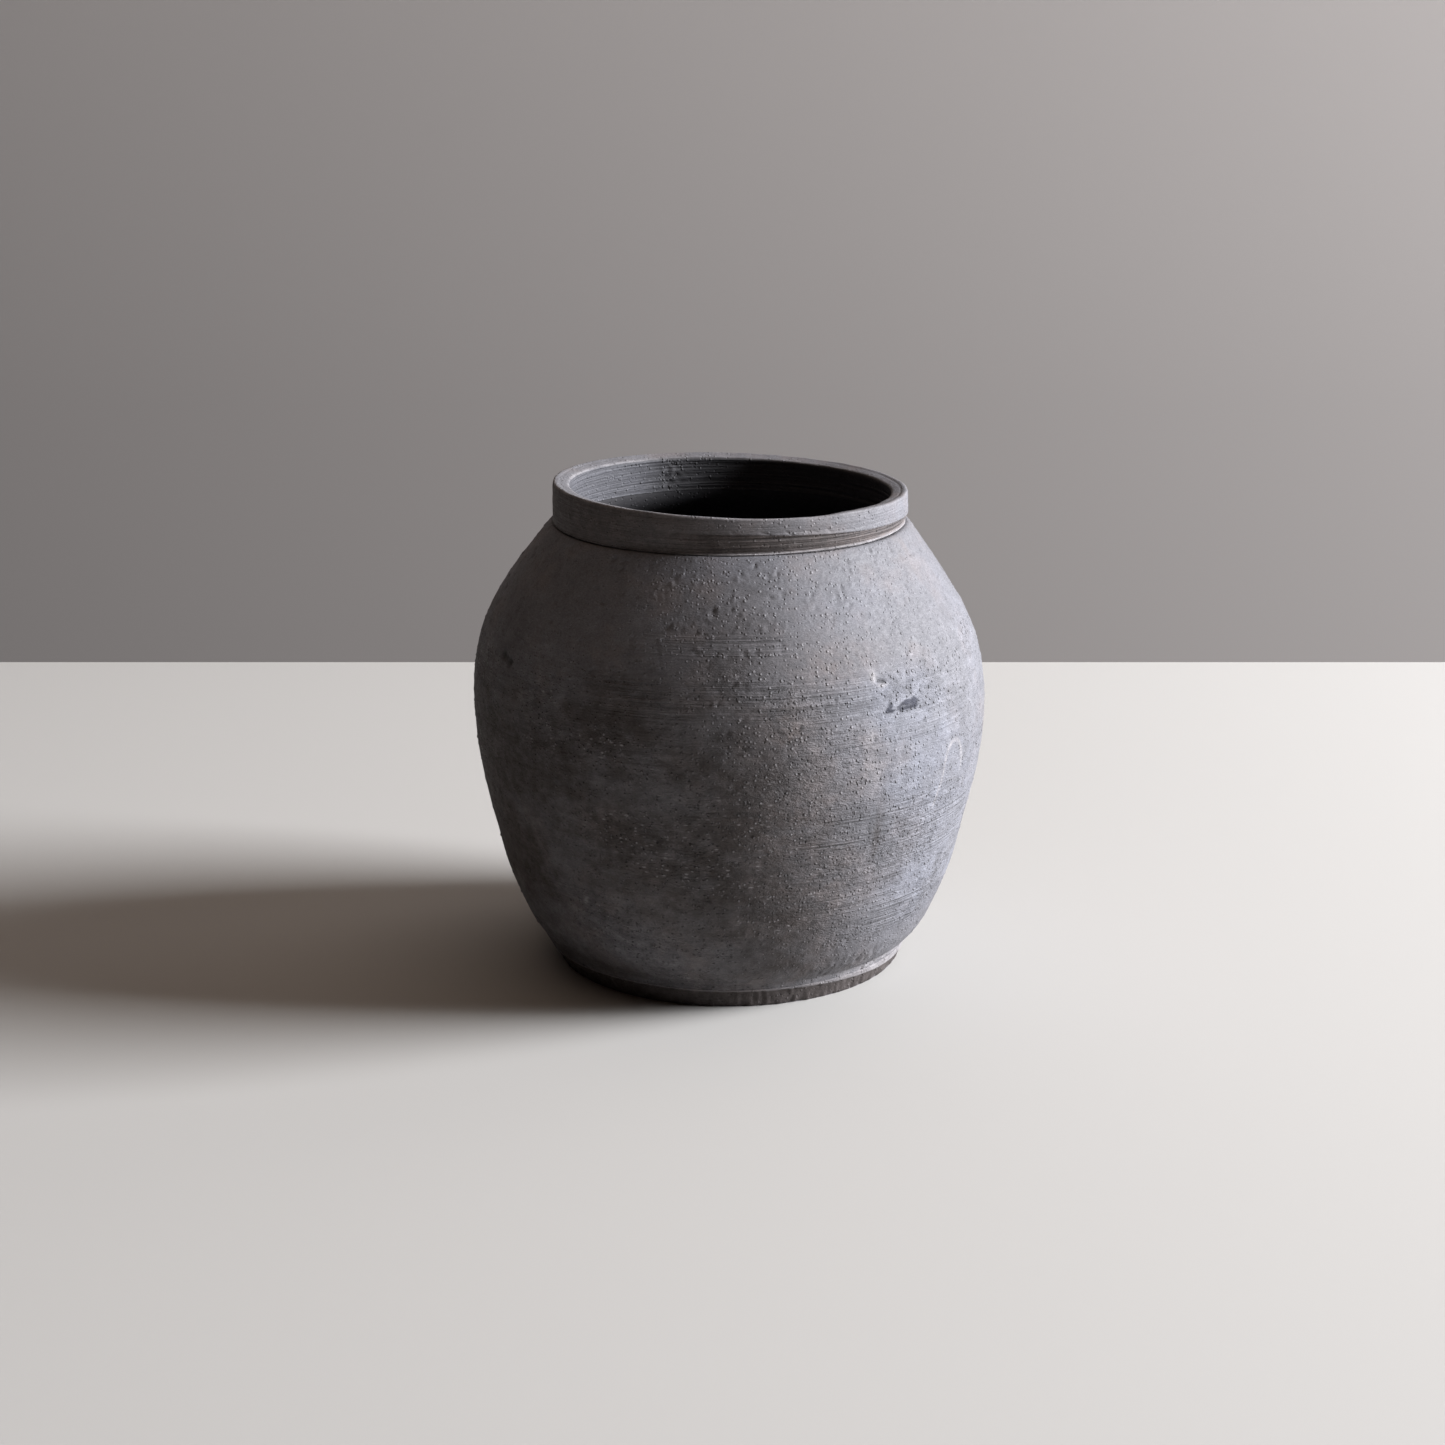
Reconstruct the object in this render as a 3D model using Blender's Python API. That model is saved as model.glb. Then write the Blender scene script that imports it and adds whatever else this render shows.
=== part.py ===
"""Stoneware jar with a belly, a sloping shoulder, a thick rim collar and a disc foot.

The jar is four leather-hard clay pieces luted together and fired as one: a foot disc, a lower wall,
an upper wall and a rim collar. Each piece is a solid of revolution about Z, modelled in metres with
the jar standing on z = 0. Every join is a real one: the wall stands in a seat cut round the disc, the
two wall halves meet in a ridge and groove at the belly, and the collar sits over a tongue on the neck.
"""

import bpy
import bmesh
import math
import numpy as np

MM = 0.001

# Driving sizes of the whole jar.
HEIGHT = 218.5 * MM
BELLY_RADIUS = 115.0 * MM
SEGMENTS = 64                    # facets round each piece
CREASE_ANGLE = math.radians(35)  # edges that turn more sharply than this stay crisp

# The gap that stands for the thin film of slip in every join.
GAP = 0.3 * MM
SLANT_GAP = 1.4 * GAP            # upwards between the ridge's slanted faces, which leaves GAP square

# Foot disc.
FOOT_REST_RADIUS = 78.5 * MM
FOOT_RADIUS = 81.0 * MM
FOOT_THICKNESS = 9.0 * MM
FOOT_EDGE_ROUND = 1.2 * MM
FOOT_REST_BEVEL = 0.8 * MM
SEAT_DEPTH = 1.4 * MM
SEAT_INNER_RADIUS = 73.6 * MM
SEAT_OUTER_RADIUS = 79.2 * MM

# Wall: how thick it is, where its halves meet, and how far the ridge of that join stands up.
WALL_THICKNESS = 6.8 * MM
BELLY_HEIGHT = 119.0 * MM
RIDGE_HEIGHT = 3.0 * MM
WALL_LOW = 13.0 * MM             # the curve of the outside runs from here
WALL_HIGH = 198.6 * MM           # to here
LINING_LOW = 22.0 * MM           # the inside follows the outside between these two heights
LINING_HIGH = 194.0 * MM
JOIN_CLEAR = 10.0 * MM           # nearest height to the join at which the curve is sampled again

# The groove between the foot's ledge and the wall: how far out and up its two bends lie from the
# wall's outer foot.
GROOVE_BEND = (0.1 * MM, 2.2 * MM)
GROOVE_TOP = (1.8 * MM, 3.7 * MM)
COVE = (1.6 * MM, 3.2 * MM)      # the rounded corner between the floor and the wall inside

# Outside of the wall from just above the foot's groove to the neck, as (height, radius) stations
# that a smooth curve joins. The widest one is the belly.
WALL_STATIONS = [
    (WALL_LOW, 84.3 * MM),
    (17.0 * MM, 88.1 * MM),
    (26.0 * MM, 93.4 * MM),
    (42.0 * MM, 100.0 * MM),
    (66.0 * MM, 106.5 * MM),
    (92.0 * MM, 112.4 * MM),
    (BELLY_HEIGHT, BELLY_RADIUS),
    (143.0 * MM, 112.3 * MM),
    (160.0 * MM, 106.3 * MM),
    (178.0 * MM, 95.5 * MM),
    (WALL_HIGH, 80.6 * MM),
]

# Neck and rim collar.
NECK_HEIGHT = 199.4 * MM         # top of the upper wall, where the collar sits
NECK_RADIUS = 78.2 * MM          # outside of the neck in the crease under the collar
TONGUE_HEIGHT = 3.0 * MM
TONGUE_INNER_RADIUS = 73.9 * MM
TONGUE_OUTER_RADIUS = 76.4 * MM
MOUTH_RADIUS = 70.9 * MM
COLLAR_THROAT_RADIUS = 72.2 * MM
COLLAR_RADIUS = 79.2 * MM        # its gently bulging outer face
COLLAR_FOOT_RADIUS = 77.4 * MM
LAND_DISH = 1.5 * MM             # how far the flat of the rim falls towards the mouth
THROAT_DEPTH = 4.0 * MM          # how far the straight throat reaches down into the neck


def clear_scene():
    for thing in list(bpy.data.objects):
        bpy.data.objects.remove(thing, do_unlink=True)


def clay(name, colour, roughness):
    """A matt fired-clay material."""
    material = bpy.data.materials.new(name)
    material.use_nodes = True
    shader = material.node_tree.nodes["Principled BSDF"]
    shader.inputs["Base Color"].default_value = (*colour, 1.0)
    shader.inputs["Roughness"].default_value = roughness
    shader.inputs["Metallic"].default_value = 0.0
    return material


def smooth_curve(stations, heights):
    """Radius at each height on a natural cubic spline through the stations."""
    z, r = np.array(stations).T
    step = np.diff(z)
    count = len(z)
    system = np.eye(count)
    target = np.zeros(count)
    for i in range(1, count - 1):
        system[i, i - 1:i + 2] = step[i - 1], 2 * (step[i - 1] + step[i]), step[i]
        target[i] = 6 * ((r[i + 1] - r[i]) / step[i] - (r[i] - r[i - 1]) / step[i - 1])
    bend = np.linalg.solve(system, target)
    i = np.clip(np.searchsorted(z, heights) - 1, 0, count - 2)
    low, high, width = z[i + 1] - heights, heights - z[i], step[i]
    curve = (bend[i] * low ** 3 + bend[i + 1] * high ** 3) / (6 * width)
    curve += (r[i] / width - bend[i] * width / 6) * low
    curve += (r[i + 1] / width - bend[i + 1] * width / 6) * high
    return curve


def wall_outside(low, high, count):
    """Points (radius, height) up the outside of the wall between two heights."""
    heights = np.linspace(low, high, count)
    return list(zip(smooth_curve(WALL_STATIONS, heights), heights))


def wall_inside(low, high, count):
    """The same stretch moved into the clay by the wall's thickness, square to the surface."""
    heights = np.linspace(low, high, count)
    radii = smooth_curve(WALL_STATIONS, heights)
    nudge = 0.1 * MM
    above = smooth_curve(WALL_STATIONS, heights + nudge)
    below = smooth_curve(WALL_STATIONS, heights - nudge)
    slope = (above - below) / (2 * nudge)
    length = np.sqrt(1 + slope ** 2)
    inner_radii = radii - WALL_THICKNESS / length
    inner_heights = heights + WALL_THICKNESS * slope / length
    return list(zip(inner_radii, inner_heights))


def arc(centre, radius, start, end, count):
    """Points on a circular arc in the profile plane, angles in degrees from outwards to up."""
    angles = np.radians(np.linspace(start, end, count))
    return [(centre[0] + radius * math.cos(a), centre[1] + radius * math.sin(a)) for a in angles]


def turned(name, profile, material):
    """Spin a profile of (radius, height) points round Z into a closed solid.

    A profile whose ends lie on the axis makes a disc, and any other profile is closed into a ring.
    """
    mesh = bpy.data.meshes.new(name)
    build = bmesh.new()
    points = [build.verts.new((radius, 0.0, height)) for radius, height in profile]
    edges = [build.edges.new(pair) for pair in zip(points, points[1:])]
    if profile[0][0] > 0:
        edges.append(build.edges.new((points[-1], points[0])))
    bmesh.ops.spin(build, geom=points + edges, axis=(0, 0, 1), cent=(0, 0, 0),
                   angle=2 * math.pi, steps=SEGMENTS, use_merge=True)
    bmesh.ops.remove_doubles(build, verts=build.verts, dist=0.001 * MM)
    bmesh.ops.recalc_face_normals(build, faces=build.faces)
    build.to_mesh(mesh)
    build.free()
    mesh.shade_smooth()
    mesh.set_sharp_from_angle(angle=CREASE_ANGLE)
    mesh.materials.append(material)
    piece = bpy.data.objects.new(name, mesh)
    bpy.context.scene.collection.objects.link(piece)
    return piece


def foot_disc():
    """Flat disc with a tapered edge, a rounded ledge and a seat that the wall stands in."""
    seat_height = FOOT_THICKNESS - SEAT_DEPTH
    ledge_centre = (FOOT_RADIUS - FOOT_EDGE_ROUND, FOOT_THICKNESS - FOOT_EDGE_ROUND)
    profile = [
        (0.0, 0.0),
        (FOOT_REST_RADIUS - FOOT_REST_BEVEL, 0.0),
        (FOOT_REST_RADIUS, FOOT_REST_BEVEL),
        *arc(ledge_centre, FOOT_EDGE_ROUND, -15, 90, 4),
        (SEAT_OUTER_RADIUS, FOOT_THICKNESS),
        (SEAT_OUTER_RADIUS, seat_height),
        (SEAT_INNER_RADIUS, seat_height),
        (SEAT_INNER_RADIUS, FOOT_THICKNESS),
        (0.0, FOOT_THICKNESS),
    ]
    return turned("foot_disc", profile, clay("foot clay", (0.115, 0.110, 0.112), 0.85))


def lower_wall():
    """Wall from the seat in the disc up to the ridge at the belly."""
    foot = FOOT_THICKNESS - SEAT_DEPTH + GAP
    inner = SEAT_INNER_RADIUS + GAP
    outer = SEAT_OUTER_RADIUS - GAP
    belly_inner = BELLY_RADIUS - WALL_THICKNESS
    profile = [
        (outer, foot),
        (outer + GROOVE_BEND[0], foot + GROOVE_BEND[1]),
        (outer + GROOVE_TOP[0], foot + GROOVE_TOP[1]),
        *wall_outside(WALL_LOW, BELLY_HEIGHT, 13),
        (BELLY_RADIUS - WALL_THICKNESS / 2, BELLY_HEIGHT + RIDGE_HEIGHT),
        (belly_inner, BELLY_HEIGHT),
        *reversed(wall_inside(LINING_LOW, BELLY_HEIGHT - JOIN_CLEAR, 8)),
        (inner + COVE[0], foot + COVE[1]),
        (inner, foot),
    ]
    return turned("lower_wall", profile, clay("lower wall clay", (0.135, 0.131, 0.136), 0.9))


def upper_wall():
    """Wall from the groove at the belly over the shoulder to the neck and its tongue."""
    join = BELLY_HEIGHT + SLANT_GAP
    belly_inner = BELLY_RADIUS - WALL_THICKNESS
    profile = [
        (BELLY_RADIUS, join),
        *wall_outside(BELLY_HEIGHT + JOIN_CLEAR, WALL_HIGH, 11),
        (NECK_RADIUS, NECK_HEIGHT),
        (TONGUE_OUTER_RADIUS, NECK_HEIGHT),
        (TONGUE_OUTER_RADIUS, NECK_HEIGHT + TONGUE_HEIGHT),
        (TONGUE_INNER_RADIUS, NECK_HEIGHT + TONGUE_HEIGHT),
        (TONGUE_INNER_RADIUS, NECK_HEIGHT),
        (COLLAR_THROAT_RADIUS, NECK_HEIGHT),
        (COLLAR_THROAT_RADIUS + 0.8 * MM, NECK_HEIGHT - THROAT_DEPTH),
        *reversed(wall_inside(BELLY_HEIGHT + JOIN_CLEAR, LINING_HIGH, 8)),
        (belly_inner, join),
        (BELLY_RADIUS - WALL_THICKNESS / 2, join + RIDGE_HEIGHT),
    ]
    return turned("upper_wall", profile, clay("upper wall clay", (0.140, 0.137, 0.145), 0.88))


def rim_collar():
    """Thick band on the neck: a bulging outer face, a bevel, a dished land and a rounded mouth."""
    foot = NECK_HEIGHT + GAP
    groove_top = foot + TONGUE_HEIGHT
    profile = [
        (COLLAR_FOOT_RADIUS, foot),
        (COLLAR_RADIUS - 0.9 * MM, foot + 1.2 * MM),
        (COLLAR_RADIUS - 0.2 * MM, foot + 5.0 * MM),
        (COLLAR_RADIUS, foot + 9.5 * MM),
        (COLLAR_RADIUS - 0.3 * MM, HEIGHT - 3.2 * MM),
        (COLLAR_RADIUS - 0.9 * MM, HEIGHT - 1.0 * MM),
        (COLLAR_RADIUS - 1.8 * MM, HEIGHT),
        (MOUTH_RADIUS + 1.3 * MM, HEIGHT - LAND_DISH),
        (MOUTH_RADIUS + 0.4 * MM, HEIGHT - LAND_DISH - 0.5 * MM),
        (MOUTH_RADIUS, HEIGHT - LAND_DISH - 1.5 * MM),
        (COLLAR_THROAT_RADIUS - 0.5 * MM, foot + 7.0 * MM),
        (COLLAR_THROAT_RADIUS, foot),
        (TONGUE_INNER_RADIUS - GAP, foot),
        (TONGUE_INNER_RADIUS - GAP, groove_top),
        (TONGUE_OUTER_RADIUS + GAP, groove_top),
        (TONGUE_OUTER_RADIUS + GAP, foot),
    ]
    return turned("rim_collar", profile, clay("collar clay", (0.143, 0.139, 0.144), 0.82))


clear_scene()
foot_disc()
lower_wall()
upper_wall()
rim_collar()
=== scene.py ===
"""Looks of the stoneware jar: its four clay pieces as finely worked meshes, their matt fired-clay
materials, a pale floor, plain walls, one large soft light low on the right and a weak one overhead."""

import itertools
import math

import bpy
import numpy as np
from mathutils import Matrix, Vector


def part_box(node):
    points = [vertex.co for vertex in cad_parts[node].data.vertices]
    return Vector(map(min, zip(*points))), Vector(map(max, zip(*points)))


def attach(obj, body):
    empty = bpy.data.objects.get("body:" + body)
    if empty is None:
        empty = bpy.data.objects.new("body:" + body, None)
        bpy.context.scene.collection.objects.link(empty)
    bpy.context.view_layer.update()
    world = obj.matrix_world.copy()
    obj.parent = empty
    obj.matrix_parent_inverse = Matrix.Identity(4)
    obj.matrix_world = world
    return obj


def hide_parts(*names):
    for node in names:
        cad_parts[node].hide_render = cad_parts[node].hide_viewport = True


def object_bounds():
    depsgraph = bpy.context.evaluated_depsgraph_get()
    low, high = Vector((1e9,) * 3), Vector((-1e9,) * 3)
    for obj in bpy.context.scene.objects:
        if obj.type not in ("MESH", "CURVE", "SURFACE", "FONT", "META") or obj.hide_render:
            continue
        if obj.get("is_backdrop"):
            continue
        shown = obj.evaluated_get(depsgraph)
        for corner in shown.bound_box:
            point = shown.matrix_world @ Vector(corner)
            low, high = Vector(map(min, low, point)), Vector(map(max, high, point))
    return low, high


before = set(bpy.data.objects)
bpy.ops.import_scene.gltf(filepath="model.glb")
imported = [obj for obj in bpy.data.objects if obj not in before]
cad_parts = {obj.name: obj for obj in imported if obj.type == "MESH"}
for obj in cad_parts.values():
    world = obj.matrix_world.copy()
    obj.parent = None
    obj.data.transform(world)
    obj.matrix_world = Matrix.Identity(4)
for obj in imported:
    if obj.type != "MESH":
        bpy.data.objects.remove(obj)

MM = 0.001
CAD_LOW, CAD_HIGH = (list(corner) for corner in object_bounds())

# ---------------------------------------------------------------- sizes, from the frame

HEIGHT = CAD_HIGH[2]
BELLY_RADIUS = CAD_HIGH[0]
FOOT_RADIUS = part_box("foot_disc")[1].x
FOOT_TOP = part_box("foot_disc")[1].z
WALL_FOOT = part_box("lower_wall")[0].z
BELLY_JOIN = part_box("upper_wall")[0].z
COLLAR_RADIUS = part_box("rim_collar")[1].x
COLLAR_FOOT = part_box("rim_collar")[0].z

# The visual clay stays this far inside the CAD box, so that lumps and lean never leave it.
SKIN_MARGIN = 0.6 * MM
WALL_THICKNESS = 6.8 * MM
REST_RADIUS = FOOT_RADIUS - 2.5 * MM
SEAT_RADIUS = FOOT_RADIUS - 2.2 * MM
MOUTH_RADIUS = COLLAR_RADIUS - 8.2 * MM
THROAT_RADIUS = MOUTH_RADIUS + 1.3 * MM
LAND_DISH = 1.5 * MM             # how far the flat of the rim falls towards the mouth

# Outside of the wall as (height, radius) stations of a smooth curve; the widest is the belly.
WALL_STATIONS = [
    (13.0 * MM, 84.0 * MM),
    (17.0 * MM, 87.9 * MM),
    (26.0 * MM, 93.2 * MM),
    (42.0 * MM, 99.9 * MM),
    (66.0 * MM, 106.3 * MM),
    (92.0 * MM, 112.1 * MM),
    (119.0 * MM, BELLY_RADIUS - SKIN_MARGIN),
    (143.0 * MM, 112.1 * MM),
    (160.0 * MM, 106.2 * MM),
    (178.0 * MM, 95.4 * MM),
    (198.6 * MM, 80.4 * MM),
]

# How far the axis wanders sideways (+X) at each height, and how the rim dips to the right.
LEAN_STATIONS = [
    (0.0 * MM, 0.0 * MM),
    (60.0 * MM, 0.1 * MM),
    (90.0 * MM, 0.15 * MM),
    (119.0 * MM, 0.1 * MM),
    (140.0 * MM, -0.4 * MM),
    (165.0 * MM, -1.15 * MM),
    (184.0 * MM, -1.0 * MM),
    (199.0 * MM, -0.2 * MM),
    (218.0 * MM, 0.4 * MM),
]
RIM_DIP = 0.0275                 # metres down per metre across, from the rim's high left side
RIM_HIGH_X = -COLLAR_RADIUS
OVAL_FROM = 150 * MM             # the jar is round up to here, and slightly oval and
OVAL_FULL = 215 * MM             # three-cornered towards the rim

# On the left the groove over the foot was never cut: the wall runs down to the table as a cone.
CONE_TOP = 17.5 * MM
CONE_TOP_RADIUS = 88.2 * MM
UNCUT_AZIMUTH = -98              # degrees, the middle of the uncut stretch
UNCUT_REACH = (30, 75)           # degrees from there, where the groove begins and is fully cut

# Heights between which the two halves of the wall have their skins and their linings.
WALL_START = 13.2 * MM
WALL_END = 198.0 * MM
LINING_START = 24.0 * MM
LINING_END = 194.0 * MM

COLUMNS = 720                    # facets round the outside
LINING_STEP = 4                  # outer facets to each facet of the lining
RING = np.linspace(0, 2 * math.pi, COLUMNS, endpoint=False)
LINING_RING = RING[::LINING_STEP]
SHARP_ANGLE = math.radians(50)

# Distance between the rows of each skin, which keeps every piece under 200,000 triangles.
LOWER_WALL_ROW = 0.95 * MM
UPPER_WALL_ROW = 0.72 * MM
COLLAR_ROW = 0.36 * MM
FOOT_ROW = 0.36 * MM

# What the mesh tells the material at each point, and what it says of a lining.
MASKS = ("smoke_and_shade", "warm", "bloom_and_light", "ink", "dust_and_highlight", "comb", "rough", "hollow_shade", "inside")
# A lining is all inside: it gets the darker inside clay and strong painted shade.
LINING_MASKS = {"inside": 1, "hollow_shade": 0.9}


# ---------------------------------------------------------------- curves and noise

def smooth_curve(stations, heights):
    """Value at each height on a natural cubic spline through the stations."""
    z, r = np.array(stations).T
    step = np.diff(z)
    count = len(z)
    system = np.eye(count)
    target = np.zeros(count)
    for i in range(1, count - 1):
        system[i, i - 1:i + 2] = step[i - 1], 2 * (step[i - 1] + step[i]), step[i]
        target[i] = 6 * ((r[i + 1] - r[i]) / step[i] - (r[i] - r[i - 1]) / step[i - 1])
    bend = np.linalg.solve(system, target)
    i = np.clip(np.searchsorted(z, heights) - 1, 0, count - 2)
    low, high, width = z[i + 1] - heights, heights - z[i], step[i]
    curve = (bend[i] * low ** 3 + bend[i + 1] * high ** 3) / (6 * width)
    curve += (r[i] / width - bend[i] * width / 6) * low
    curve += (r[i + 1] / width - bend[i + 1] * width / 6) * high
    return curve


def smoothstep(low, high, value):
    t = np.clip((value - low) / (high - low), 0, 1)
    return t * t * (3 - 2 * t)


def bell(distance, reach):
    """1 at no distance, about a third at the reach, and next to nothing at twice the reach."""
    return np.exp(-(distance / reach) ** 2)


def degrees_from(angle, degrees):
    """How far each azimuth is from one given in degrees, between -180 and 180."""
    return (np.degrees(angle) - degrees + 180) % 360 - 180


def noise_field(seed):
    """A smooth random field: points (..., 3) in metres and a feature size in mm give -1 to 1."""
    side = 64
    lattice = np.random.default_rng(seed).uniform(-1, 1, (side, side, side))

    def field(points, size_mm):
        place = points / (np.array(size_mm) * MM)
        base = np.floor(place).astype(int)
        t = place - base
        t = t * t * (3 - 2 * t)
        total = 0
        for corner in itertools.product((0, 1), repeat=3):
            weight = np.prod(np.where(corner, t, 1 - t), axis=-1)
            i, j, k = np.moveaxis((base + corner) % side, -1, 0)
            total = total + lattice[i, j, k] * weight
        return total

    return field


COARSE = noise_field(11)
FINE = noise_field(12)
STREAK = noise_field(13)
RAGGED = noise_field(14)


def ring_points(radius, height, angle):
    """Points at azimuth angle (0 faces -Y, growing towards +X)."""
    return np.stack([radius * np.sin(angle), -radius * np.cos(angle), height + 0 * angle], axis=-1)


def resample(points, spacing):
    """A polyline of (radius, height) points cut again into even steps."""
    points = np.array(points)
    along = np.concatenate([[0], np.cumsum(np.hypot(*np.diff(points, axis=0).T))])
    even = np.linspace(0, along[-1], max(2, round(along[-1] / spacing) + 1))
    return np.stack([np.interp(even, along, points[:, i]) for i in (0, 1)], axis=-1)


def rounded(points, spacing, passes):
    """The polyline in even steps with its corners eased by repeated averaging; its ends stay."""
    line = resample(points, spacing)
    for _ in range(passes):
        line[1:-1] = (line[:-2] + 2 * line[1:-1] + line[2:]) / 4
    return resample(line, spacing)


def square_to(line):
    """The direction square to a profile at each of its points, to the right of its run."""
    turn = np.gradient(line, axis=0)
    out = np.stack([turn[:, 1], -turn[:, 0]], axis=-1)
    return out / np.linalg.norm(out, axis=1, keepdims=True)


# ---------------------------------------------------------------- meshes

def settle(points):
    """Lean, slight out-of-round, the rim's dip and the uncut left of the foot, for every piece."""
    x, y, z = points[..., 0].copy(), points[..., 1].copy(), points[..., 2].copy()
    angle = np.arctan2(x, -y)
    radius = np.hypot(x, y)
    uncut = 1 - smoothstep(*UNCUT_REACH, np.abs(degrees_from(angle, UNCUT_AZIMUTH)))
    cone = REST_RADIUS + (CONE_TOP_RADIUS - REST_RADIUS) * np.clip(z / CONE_TOP, 0, 1)
    filled = np.where(z < CONE_TOP, np.maximum(cone - radius, 0), 0)
    filled = filled * uncut * smoothstep(SEAT_RADIUS + 0.4 * MM, SEAT_RADIUS + 1.4 * MM, radius)
    upper = smoothstep(OVAL_FROM, OVAL_FULL, z)
    oval = 1 + upper * (0.0035 * np.cos(2 * angle - 0.9) + 0.0020 * np.cos(3 * angle + 0.4))
    swell = oval * (radius + filled) / np.maximum(radius, 1e-6)
    x, y = x * swell, y * swell
    x += smooth_curve(LEAN_STATIONS, z)
    dip = smoothstep(COLLAR_FOOT, HEIGHT - 1.0 * MM, z)
    z -= dip * RIM_DIP * np.maximum(x - RIM_HIGH_X, 0)
    return np.stack([x, y, z], axis=-1)


def ring_faces(start, rows, count):
    """Quads between neighbouring rings of a grid whose vertices begin at start."""
    faces = []
    for row in range(rows - 1):
        a, b = start + row * count, start + (row + 1) * count
        for i in range(count):
            j = (i + 1) % count
            faces.append((a + i, a + j, b + j, b + i))
    return faces


def stitch(fine, rough, count, fine_first):
    """Faces between a fine ring and a rough ring, LINING_STEP fine edges to each rough edge."""
    faces = []
    for i in range(count):
        j = (i + 1) % count
        fan = [fine + (i * LINING_STEP + k) % COLUMNS for k in range(LINING_STEP + 1)]
        loop = fan + [rough + j, rough + i]
        faces.append(tuple(loop if fine_first else reversed(loop)))
    return faces


def cap(ring, centre, count, upward):
    """A fan of triangles from a ring to a point on the axis."""
    faces = []
    for i in range(count):
        corners = (ring + i, ring + (i + 1) % count, centre)
        faces.append(corners if upward else corners[::-1])
    return faces


def skin_rings(skin, relief):
    """Rings of points along a skin with its relief on them, and the masks that come with it."""
    angle, _ = np.meshgrid(RING, skin[:, 0])
    out = square_to(skin)
    lift, masks = relief(ring_points(skin[:, :1], skin[:, 1:], angle), angle, skin)
    radius = skin[:, :1] + out[:, :1] * lift
    height = skin[:, 1:] + out[:, 1:] * lift
    return settle(ring_points(radius, height, angle)), masks


def lining_rings(line, relief=None):
    """Rings with fewer points along a line that is mostly out of sight."""
    angle, _ = np.meshgrid(LINING_RING, line[:, 0])
    radius, height = line[:, :1] + 0 * angle, line[:, 1:] + 0 * angle
    if relief:
        out = square_to(line)
        lift = relief(ring_points(radius, height, angle), angle)
        radius = radius + out[:, :1] * lift
        height = height + out[:, 1:] * lift
    return settle(ring_points(radius, height, angle))


def store_masks(mesh, masks, rows, linings):
    """Keeps the masks on the mesh for its material, with 0 where a piece has none."""
    skin_end = rows * COLUMNS
    lining_end = skin_end + linings * len(LINING_RING)
    for name in MASKS:
        values = np.zeros(len(mesh.vertices), np.float32)
        values[:skin_end] = np.broadcast_to(masks.get(name, 0), (rows, COLUMNS)).reshape(-1)
        values[skin_end:lining_end] = LINING_MASKS.get(name, 0)
        mesh.attributes.new(name, "FLOAT", "POINT").data.foreach_set("value", values)


def turned(name, skin, lining, relief, lining_relief=None, underside=None):
    """One clay piece: a fine worked skin and a coarser lining that closes it.

    skin and lining are (radius, height) points that follow on from each other round the profile.
    relief(points, angle, skin) gives the skin's lift in metres and a dict of masks for the material.
    A ring's lining runs back to the skin's start. A disc's lining ends near the axis, and so does
    its underside, which runs the other way from the skin's start.
    """
    worked, masks = skin_rings(skin, relief)
    rows, linings, count = len(skin), len(lining), len(LINING_RING)
    start = rows * COLUMNS
    last_ring = start + (linings - 1) * count
    blocks = [worked, lining_rings(lining, lining_relief)]
    faces = ring_faces(0, rows, COLUMNS) + ring_faces(start, linings, count)
    faces += stitch((rows - 1) * COLUMNS, start, count, True)
    if underside is None:
        faces += stitch(0, last_ring, count, False)
    else:
        under_start = last_ring + count
        under_last = under_start + (len(underside) - 1) * count
        centre = under_last + count
        blocks += [lining_rings(underside), np.array([[0, 0, lining[-1, 1]], [0, 0, underside[-1, 1]]])]
        faces += [face[::-1] for face in ring_faces(under_start, len(underside), count)]
        faces += stitch(0, under_start, count, False)
        faces += cap(last_ring, centre, count, True)
        faces += cap(under_last, centre + 1, count, False)
    mesh = bpy.data.meshes.new(name)
    mesh.from_pydata(np.concatenate([block.reshape(-1, 3) for block in blocks]).tolist(), [], faces)
    store_masks(mesh, masks, rows, linings)
    mesh.shade_smooth()
    mesh.set_sharp_from_angle(angle=SHARP_ANGLE)
    mesh.update()
    piece = bpy.data.objects.new(name, mesh)
    bpy.context.scene.collection.objects.link(piece)
    return piece


# ---------------------------------------------------------------- marks in the clay
#
# A mark's place is its azimuth in degrees and its height in millimetres; its reach along and across
# is in millimetres too. The viewer's side, which is known, has its own marks. The rest of the jar
# takes marks of the same kinds at random.

# Dark clouds, partly smoky from the firing and partly painted shade on the shaded left and low down:
# azimuth, height, wide, tall, strength.
SMOKE_AND_SHADE_CLOUDS = [
    (-92, 100, 56, 46, 0.95),
    (-50, 110, 48, 38, 0.85),
    (-24, 136, 26, 20, 0.80),
    (-20, 74, 36, 40, 0.75),
    (4, 112, 22, 28, 0.70),
    (2, 62, 26, 34, 0.55),
    (2, 162, 22, 28, 0.62),
    (16, 44, 22, 24, 0.62),
    (16, 22, 34, 9, 0.40),
    (-6, 118.5, 12, 7, 0.35),
    (20, 88, 16, 16, 0.25),
    (34, 84, 2.2, 14, 0.75),
    (43, 72, 8, 14, 0.25),
    (-40, 14, 60, 8, 0.6),
]
WARM_PATCHES = [
    (31.8, 111, 10, 9, 1.0),
    (31, 128.7, 9, 7, 0.9),
    (29.5, 114, 3, 3, 0.6),
    (12.5, 134.6, 14, 9, 0.8),
    (14.7, 104, 20, 9, 0.8),
    (20, 58.6, 26, 16, 0.7),
    (24, 158, 24, 9, 0.6),
    (8, 86, 20, 12, 0.6),
    (40, 118, 8, 10, 0.5),
]
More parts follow.
